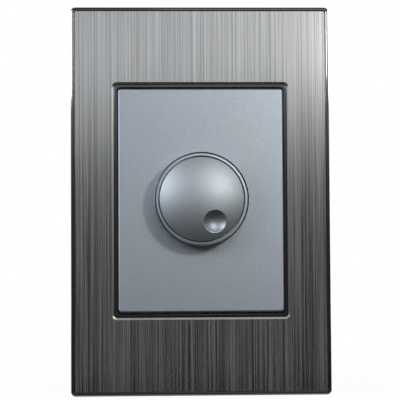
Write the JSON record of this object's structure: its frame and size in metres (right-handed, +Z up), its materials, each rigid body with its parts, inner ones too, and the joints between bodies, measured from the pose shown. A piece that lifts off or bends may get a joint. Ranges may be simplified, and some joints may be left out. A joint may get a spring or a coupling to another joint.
{
  "type": "rotary dimmer switch",
  "caption": "Rotary wall dimmer: dark brushed metal plate in a gloss black surround, satin grey panel and one round dimpled knob that turns to set the light.",
  "frame": {"origin": "centre of the plate on the wall plane, midway between the two box screws", "axes": "+X right, +Z up along the plate's long side, +Y into the wall, so the front faces -Y"},
  "size_m": [0.08, 0.0463, 0.12],
  "materials": {
    "brushed_sheet": "brushed lengthwise",
    "gloss_black": "polished moulding",
    "satin_paint": "satin metallic paint",
    "frame_plastic": "fine moulded grain",
    "housing_plastic": "fine moulded grain",
    "zinc_steel": "zinc plated",
    "sink_aluminium": "mill finish",
    "brass": "turned",
    "board_green": "lacquered laminate",
    "epoxy_black": "moulded epoxy",
    "wafer_brown": "phenolic laminate",
    "pad_grey": "silicone sheet",
    "ferrite": "sintered",
    "enamelled_wire": "enamelled copper",
    "capacitor_yellow": "moulded box",
    "capacitor_red": "dipped",
    "resistor_beige": "lacquered",
    "diac_blue": "glass bead look"
  },
  "bodies": {
    "root": {"face_sheet": "brushed_sheet", "plate_frame": "gloss_black", "support_frame": "frame_plastic", "box_screws": "zinc_steel", "front_panel": "satin_paint", "rear_housing": "housing_plastic", "heat_sink": "sink_aluminium", "heat_sink_screws": "zinc_steel", "pot_bushing": "zinc_steel", "pot_washer": "zinc_steel", "pot_nut": "zinc_steel", "pot_case": "zinc_steel", "pot_wafer": "wafer_brown", "pot_legs": "brass", "switch_can": "epoxy_black", "switch_legs": "brass", "circuit_board": "board_green", "triac": "epoxy_black", "triac_pad": "pad_grey", "triac_screw": "zinc_steel", "choke_core": "ferrite", "choke_winding": "enamelled_wire", "suppression_capacitor": "capacitor_yellow", "timing_capacitor": "capacitor_red", "resistors": "resistor_beige", "diac": "diac_blue", "terminal_clamps": "brass", "terminal_screws": "zinc_steel"},
    "dial": {"knob": "satin_paint", "pot_shaft": "sink_aluminium", "pot_wiper": "brass"}
  },
  "joints": [
    {"name": "knob_turn", "type": "hinge", "parent": "root", "child": "dial", "pos_m": [0, -0.0142, 0], "axis": [0, -1, 0], "range_deg": [0, 300]}
  ]
}
